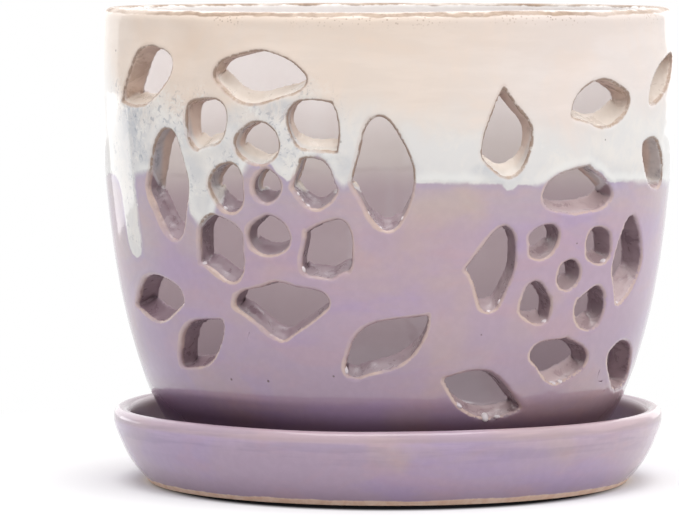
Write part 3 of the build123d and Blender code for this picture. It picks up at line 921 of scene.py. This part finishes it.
class ORCHID_OT_pot(bpy.types.Operator):
    """Fire and glaze the slotted pot over its solid"""
    bl_idname = "orchid.pot"
    bl_label = "Slotted pot"

    def execute(self, context):
        shape = context.scene.orchid_pot
        side = WallSide(shape)
        solid = bmesh.new()
        solid.from_mesh(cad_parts["pot"].data)
        bmesh.ops.remove_doubles(solid, verts=solid.verts, dist=0.005 * mm)
        slots = Slots(solid, side, shape.wall)
        fired = BVHTree.FromBMesh(solid)
        pot = add_piece(context, "slotted_pot", solid)
        remesh = pot.modifiers.new("Even faces", "REMESH")
        remesh.mode = "VOXEL"
        remesh.voxel_size = shape.grain
        apply_modifiers(context, pot)
        line_tree = glaze_line_tree(side)
        self.thin(context, pot, slots, line_tree, shape)
        self.smooth_cuts(pot.data, slots, fired)
        self.fit_walls(pot.data, side, slots, shape)
        self.mark(pot.data, side, slots, line_tree, shape)
        self.slope_floors(pot.data, side, slots, shape)
        self.throw(pot.data, side, shape)
        pot.data.materials.clear()
        glazed = pot_material(context.scene.orchid_glaze, side)
        pot.data.materials.append(glazed)
        shade_smooth(pot.data)
        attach(pot, "pot")
        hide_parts("pot")
        self.beads(context, pot, side, glazed)
        return {"FINISHED"}

    def thin(self, context, pot, slots, line_tree, shape):
        """Leave fewer faces where neither a cut, nor the glaze line, nor the rim is near."""
        points = positions(pot.data)
        near = np.minimum(slots.near(points), np.maximum(0, RIM_ROUND - points[:, 2]))
        near = np.minimum(near, away_from(line_tree, points))
        plain = pot.vertex_groups.new(name="plain")
        weights = smooth_step(1.4 * mm, 4 * mm, near)
        for i in np.nonzero(weights > 0.01)[0]:
            plain.add([int(i)], float(weights[i]), "REPLACE")
        thin = pot.modifiers.new("Fewer faces away from the cuts", "DECIMATE")
        thin.ratio = min(1.0, shape.faces / (2 * len(pot.data.polygons)))
        thin.vertex_group = "plain"
        thin.vertex_group_factor = 1.0
        apply_modifiers(context, pot)
        pot.vertex_groups.clear()

    def is_poor(self, face, near, fired):
        """A sliver near a cut, or a face of the plain wall that is folded over."""
        away = min(near[vert.index] for vert in face.verts)
        if away < CUT_ZONE:
            longest = max(side.calc_length() for side in face.edges)
            if face.calc_area() < 0.5 * longest * SLIVER:
                return True
        middle = face.calc_center_median()
        turn = face.normal.dot(fired.find_nearest(middle)[1])
        if away > 1.5 * mm:
            return turn < LEANING and PLAIN_FROM < middle.z < PLAIN_TO
        return turn < FOLDED

    def smooth_verts(self, work, near, reach, factor):
        """Smooth the corners that lie closer to a cut than the reach."""
        verts = [work.verts[int(i)] for i in np.nonzero(near < reach)[0]]
        bmesh.ops.smooth_vert(work, verts=verts, factor=factor, use_axis_x=True,
                              use_axis_y=True, use_axis_z=True)
        return verts

    def smooth_cuts(self, mesh, slots, fired):
        """Take the steps out of the cut faces, and round their edges over a little."""
        work = bmesh.new()
        work.from_mesh(mesh)
        # Thinning leaves slivers and a few corners folded over: close them up
        for _ in range(CLOSING_ROUNDS):
            work.normal_update()
            work.verts.index_update()
            near = slots.near(np.array([vert.co for vert in work.verts]))
            poor = [face for face in work.faces if self.is_poor(face, near, fired)]
            if not poor:
                break
            shortest = {min(face.edges, key=lambda side: side.calc_length()) for face in poor}
            bmesh.ops.collapse(work, edges=list(shortest), uvs=False)
        work.verts.ensure_lookup_table()
        for vert in self.smooth_verts(work, near, CUT_ZONE, 0.5):
            place = fired.find_nearest(vert.co)[0]
            vert.co = vert.co.lerp(place, 0.9)
        self.smooth_verts(work, near, 0.9 * mm, 0.35)
        work.to_mesh(mesh)
        work.free()

    def fit_walls(self, mesh, side, slots, shape):
        """Set the faces of the wall back on the thrown curve, away from the cuts."""
        skin = Skin(mesh, side)
        below_rim = 1 - smooth_step(127.5 * mm, 129.5 * mm, skin.z)
        for cuts, level, way, foot in (
                (slots.outer, 0.0, 1, (9 * mm, 10.5 * mm)),
                (slots.inner, shape.wall, -1, (20 * mm, 24 * mm))):
            away = cuts.away(skin.points)
            level_face = np.maximum(smooth_step(0.75, 0.95, way * skin.facing),
                                    smooth_step(2 * mm, 3 * mm, away))
            share = (smooth_step(0.5 * shape.soft_edge, 1.3 * shape.soft_edge, away)
                     * level_face * smooth_step(*foot, skin.z) * below_rim
                     * (np.abs(skin.depth - level) < 0.8 * mm))
            skin.points += skin.out * ((skin.depth - level) * share)[:, None]
        put_positions(mesh, skin.points)

    def mark(self, mesh, side, slots, line_tree, shape):
        """Write what the glaze follows: the glaze line, the cuts and the rim."""
        skin = Skin(mesh, side)
        azimuth, z = skin.azimuth, skin.z
        inward = np.clip(skin.depth / shape.wall, 0, 1)
        inside = smooth_step(0.05, 0.9, inward)
        outside = 1 - inside
        inner_line = (83.3 + 0.6 * np.sin(np.radians(azimuth * 3))
                      + 0.4 * np.sin(np.radians(azimuth * 7 + 40))) * mm
        spots = np.column_stack([skin.ways * np.interp(z, side.z, side.r)[:, None], z])
        above = (away_from(line_tree, spots, NO_CAP)
                 * np.sign(z - piecewise(GLAZE_LINE, azimuth) * mm))
        pale_top = piecewise(PALE_TOP, azimuth) * outside + 84 * inside
        away, up, turn = slots.outer.nearest(skin.points)
        inner_away = slots.inner.away(skin.points)
        crest = (RIM - z) * np.where(skin.r > CREST_RADIUS, 1, -1)
        blue = np.zeros(len(z))
        for at, height, half_width, half_height, strength in BLUE_RUNS:
            far = np.hypot((azimuth - at) / half_width, (z / mm - height) / half_height)
            blue = np.maximum(blue, strength * (1 - smooth_step(0.45, 1.25, far)))
        in_wall = smooth_step(0.03, 0.12, inward) * (1 - smooth_step(0.88, 0.97, inward))
        for name, values in (
                ("line_mm", (above * outside + (z - inner_line) * inside) / mm),
                ("cream_mm", z / mm - pale_top),
                ("edge_mm", np.minimum(away, REACH) / mm),
                ("edge_up", up),
                ("edge_turn", turn),
                ("depth", inward),
                ("inner_edge", (1 - smooth_step(0.3 * mm, 1.6 * mm, inner_away))
                 * smooth_step(0.5, 0.8, inward)),
                ("cut", in_wall * (np.minimum(away, inner_away) < CUT_ZONE)
                 * (1 - smooth_step(0.6, 0.9, np.abs(skin.facing)))),
                ("up", skin.normals[:, 2]),
                ("rim_mm", np.where(z > RIM - 6 * mm, crest / mm, OFF_RIM)),
                ("blue", blue * outside),
                ("speckle", smooth_step(-76, -66, azimuth)
                 * (1 - smooth_step(-14, -4, azimuth)) * outside),
                ("sunny", smooth_step(-5, 45, azimuth)
                 * (1 - smooth_step(120, 150, azimuth)))):
            put_attribute(mesh, name, values)

    def slope_floors(self, mesh, side, slots, shape):
        """Let each slot's floor climb from its outer edge to its inner edge."""
        skin = Skin(mesh, side)
        away, up, _ = slots.inner.only(0.05, 1.01).nearest(skin.points)
        other = slots.inner.only(-1.01, -0.05).away(skin.points, NO_CAP)
        share = np.clip(other / np.maximum(other + away, 1e-9), 0, 1)
        rise = (shape.floor_rise * smooth_step(0.0, 1.0, skin.depth / shape.wall)
                * smooth_step(0.05, 0.8, up) * share
                * (1 - smooth_step(1.5 * mm, 9 * mm, away)))
        skin.points[:, :2] -= skin.ways * (rise * skin.nz)[:, None]
        skin.points[:, 2] += rise * skin.nr
        put_positions(mesh, skin.points)

    def throw(self, mesh, side, shape):
        """The small faults of a hand-thrown wall: out of round, wavy rim, knife marks."""
        skin = Skin(mesh, side)
        points, normals, ways = skin.points, skin.normals, skin.ways
        cut, edge, depth = (read_attribute(mesh, name) for name in ("cut", "edge_mm", "depth"))
        up = np.clip((skin.z - shape.base) / shape.height, 0, 1)
        around = np.column_stack([ways * 1.3, up * 1.2])
        swell = noise_field(around, 1.0, 1) - 0.4
        points[:, :2] += ways * (swell * shape.wobble * np.minimum(1, 3 * up))[:, None]
        marks = np.nonzero(cut > 0.02)[0]
        rough = noise_field(points[marks], 260.0, 2) + 0.5 * noise_field(
            points[marks], 620.0, 3)
        points[marks] += normals[marks] * (rough * cut[marks] * shape.knife)[:, None]
        # The glaze stands up beside a cut
        lip = smooth_step(0.2, 0.9, edge) * (1 - smooth_step(1.2, 3.0, edge)) * (depth < 0.1)
        points += normals * (lip * shape.lip_roll)[:, None]
        # A throwing ridge runs round the inner wall under the rim
        ridge = np.exp(-((points[:, 2] - RIDGE_HEIGHT) / RIDGE_WIDTH) ** 2) * (depth > 0.9)
        points[:, :2] -= ways * (ridge * RIDGE_RISE)[:, None]
        around[:, 2] = 0
        rise = (piecewise(RIM_RISE, skin.azimuth) + noise_field(around, 3.0, 4) * 0.08
                - 0.05) * mm
        points[:, 2] += rise * up ** 1.5
        put_positions(mesh, points)

    def beads(self, context, pot, side, glazed):
        """Small drops that the glaze left where it ran down a cut."""
        skin = bmesh.new()
        skin.from_mesh(pot.data)
        tree = BVHTree.FromBMesh(skin)
        skin.free()
        work = bmesh.new()
        marks = {"line_mm": [], "cream_mm": [], "edge_mm": [], "rim_mm": [], "bead": []}
        for azimuth, height, size in BEADS:
            wanted = side.place(azimuth, height * mm)
            inwards = Vector((-wanted.x, -wanted.y, 0)).normalized()
            spot, normal, _, _ = tree.find_nearest(wanted + inwards * 1.2 * mm)
            drop = bmesh.ops.create_icosphere(work, subdivisions=2, radius=size * mm)["verts"]
            turn = normal.to_track_quat("Z", "X").to_matrix().to_4x4()
            bmesh.ops.scale(work, verts=drop, vec=BEAD_SHAPE)
            bmesh.ops.transform(work, verts=drop, matrix=turn)
            bmesh.ops.translate(work, verts=drop, vec=spot - normal * 0.1 * size * mm)
            for name, value in (("line_mm", height - piecewise(GLAZE_LINE, azimuth)),
                                ("cream_mm", height - piecewise(PALE_TOP, azimuth)),
                                ("edge_mm", 9.0), ("rim_mm", OFF_RIM), ("bead", 1.0)):
                marks[name] += [value] * len(drop)
        beads = add_piece(context, "glaze_beads", work)
        for name, values in marks.items():
            put_attribute(beads.data, name, values)
        beads.data.materials.append(glazed)
        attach(beads, "pot")


class ORCHID_OT_saucer(bpy.types.Operator):
    """Turn and glaze the saucer over its solid"""
    bl_idname = "orchid.saucer"
    bl_label = "Saucer"

    def execute(self, context):
        shape = context.scene.orchid_saucer
        across, upright = shape.radius / SAUCER_DRAWN[0], shape.height / SAUCER_DRAWN[1]
        work = bmesh.new()
        chain = [work.verts.new((0, -r * across, z * upright)) for r, z in SAUCER_SECTION]
        edges = [work.edges.new(pair) for pair in zip(chain, chain[1:])]
        bmesh.ops.spin(work, geom=chain + edges, cent=(0, 0, 0), axis=(0, 0, 1),
                       angle=math.tau, steps=shape.steps, use_merge=True)
        bmesh.ops.remove_doubles(work, verts=work.verts, dist=0.01 * mm)
        bmesh.ops.recalc_face_normals(work, faces=work.faces)
        dish = add_piece(context, "saucer_dish", work)
        smooth = dish.modifiers.new("Smooth", "SUBSURF")
        smooth.levels = smooth.render_levels = 2
        apply_modifiers(context, dish)
        self.mark_and_warp(dish.data, shape)
        dish.data.materials.append(saucer_material(context.scene.orchid_glaze))
        shade_smooth(dish.data)
        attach(dish, "saucer")
        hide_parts("saucer")
        return {"FINISHED"}

    def mark_and_warp(self, mesh, shape):
        """Write what the glaze follows, and put the lip a little out of true."""
        points = positions(mesh)
        z = points[:, 2].copy()
        r, _, ways = polar(points)
        inside = (z > 6.5 * mm) & (r < 70 * mm + 0.28 * (z - 6.5 * mm))
        put_attribute(mesh, "foot_mm", np.where(
            inside, 9, np.where(r > 62 * mm, z / mm - 1.25, -3)))
        # The well inside the saucer takes painted shade and a rougher glaze
        put_attribute(mesh, "well", (1 - smooth_step(71.6 * mm, 73.2 * mm, r)) * inside)
        put_attribute(mesh, "lip", smooth_step(17.4 * mm, 18.6 * mm, z)
                      * smooth_step(70 * mm, 71.5 * mm, r))
        ring = np.column_stack([ways, np.zeros(len(z))])
        outer = smooth_step(60 * mm, 76 * mm, r)
        points[:, 2] += ((noise_field(ring, 1.6, 6) - 0.5) * shape.warp
                         * smooth_step(3 * mm, 20 * mm, z) * outer)
        squash = noise_field(ring, 1.2, 8) - 0.5
        points[:, :2] += ways * (squash * 0.3 * mm * outer)[:, None]
        put_positions(mesh, points)


class ORCHID_OT_stage(bpy.types.Operator):
    """Set the white table, the soft boxes and the camera"""
    bl_idname = "orchid.stage"
    bl_label = "Stage, lights and camera"

    def execute(self, context):
        studio = context.scene.orchid_studio
        context.scene.view_settings.view_transform = "Standard"
        self.table(context)
        self.world(context, studio)
        self.lamps(context, studio)
        self.camera(context, studio)
        return {"FINISHED"}

    def seen(self, s, path):
        """1 for rays from the camera, off a mirror or through glass."""
        return s.most(path["Is Camera Ray"],
                      s.most(path["Is Glossy Ray"], path["Is Transmission Ray"]))

    def table(self, context):
        """A white table that glows to the camera away from the saucer."""
        work = bmesh.new()
        bmesh.ops.create_circle(work, cap_ends=True, segments=96, radius=TABLE_RADIUS)
        table = add_piece(context, "table", work)
        material, s, shader = new_material("White table")
        shader.inputs["Roughness"].default_value = 0.9
        shader.inputs["Specular IOR Level"].default_value = 0.0
        place = s.place()
        path = s.node("LightPath").outputs
        # A painted contact shadow of the saucer, seen by the camera only, falls a little to the
        # front
        away = s.apart(s.scaled(place, 1.08, 1.0, 1.0), CONTACT_MIDDLE)
        shadow = s.times(s.span(away, CONTACT_OUT, CONTACT_IN), path["Is Camera Ray"])
        # The table is greyer to the light that it returns
        white = s.mix(path["Is Diffuse Ray"], (0.86, 0.86, 0.86), (0.50, 0.50, 0.50))
        s.feed(shader.inputs["Base Color"], s.mix(shadow, white, (0.012, 0.013, 0.014)))
        far = s.span(s.apart(place, (0, 0, 0)), GLOW_FROM, GLOW_FULL)
        blend = s.node("MixShader", s.times(far, self.seen(s, path)), shader.outputs[0],
                       s.node("Emission").outputs[0])
        s.feed(material.node_tree.nodes["Material Output"].inputs["Surface"],
               blend.outputs[0])
        table.data.materials.append(material)

    def world(self, context, studio):
        """A white room, brighter on the object from the right than from the left."""
        world = bpy.data.worlds.new("Studio")
        context.scene.world = world
        world.use_nodes = True
        s = Shader(world.node_tree)
        back = world.node_tree.nodes["Background"]
        back.inputs["Color"].default_value = (1, 1, 1, 1)
        x, _, _ = s.node("SeparateXYZ", s.node("TexCoord").outputs["Generated"]).outputs
        slanted = s.math("MULTIPLY_ADD", x, studio.surround * studio.slant, studio.surround)
        seen = self.seen(s, s.node("LightPath").outputs)
        s.feed(back.inputs["Strength"], s.span(seen, 0.0, 1.0, slanted, 1.0))

    def lamps(self, context, studio):
        boxes = (
            ("left_box", (-0.64, 1.25, 0.5), (1.0, 1.6), studio.side_light),
            ("right_box", (0.53, 1.31, 0.5), (0.7, 1.6), studio.side_light),
            ("left_card", (-0.43, 0.395, 0.045), (0.26, 0.09), studio.side_light * 0.03),
            ("top_box", (0.0, -0.15, 1.3), (1.2, 1.2), studio.top_light),
        )
        for name, place, size, power in boxes:
            light = bpy.data.lights.new(name, "AREA")
            light.shape = "RECTANGLE"
            light.size, light.size_y = size
            light.energy = power
            lamp = bpy.data.objects.new(name, light)
            lamp.visible_camera = False
            context.scene.collection.objects.link(lamp)
            lamp.location = place
            aim = Vector((0, 0, 0.06)) - Vector(place)
            lamp.rotation_euler = aim.to_track_quat("-Z", "Y").to_euler()

    def camera(self, context, studio):
        data = bpy.data.cameras.new("camera")
        data.sensor_width = 36
        data.lens = studio.lens
        data.clip_start, data.clip_end = 0.05, 50
        camera = bpy.data.objects.new("camera", data)
        context.scene.collection.objects.link(camera)
        camera.location = (0, -studio.distance, studio.eye)
        camera.rotation_euler = (math.pi / 2 - studio.tip, 0, studio.pan)
        context.scene.camera = camera


class ORCHID_PT_panel(bpy.types.Panel):
    bl_label = "Orchid pot"
    bl_space_type = "VIEW_3D"
    bl_region_type = "UI"
    bl_category = "Orchid pot"

    def draw(self, context):
        for label, group, operator in (
            ("Pot", "orchid_pot", "orchid.pot"),
            ("Glaze", "orchid_glaze", None),
            ("Saucer", "orchid_saucer", "orchid.saucer"),
            ("Studio", "orchid_studio", "orchid.stage"),
        ):
            box = self.layout.box()
            box.label(text=label)
            values = getattr(context.scene, group)
            for name in values.__annotations__:
                box.prop(values, name)
            if operator:
                box.operator(operator)


groups = {
    "orchid_pot": PotShape,
    "orchid_glaze": Glaze,
    "orchid_saucer": SaucerShape,
    "orchid_studio": Studio,
}
classes = (*groups.values(), ORCHID_OT_pot, ORCHID_OT_saucer, ORCHID_OT_stage,
           ORCHID_PT_panel)


def register():
    for entry in classes:
        bpy.utils.register_class(entry)
    for name, group in groups.items():
        setattr(bpy.types.Scene, name, bpy.props.PointerProperty(type=group))


def unregister():
    for name in groups:
        delattr(bpy.types.Scene, name)
    for entry in reversed(classes):
        bpy.utils.unregister_class(entry)


def main():
    register()
    bpy.ops.orchid.pot()
    bpy.ops.orchid.saucer()
    bpy.ops.orchid.stage()


if __name__ == "__main__":
    main()
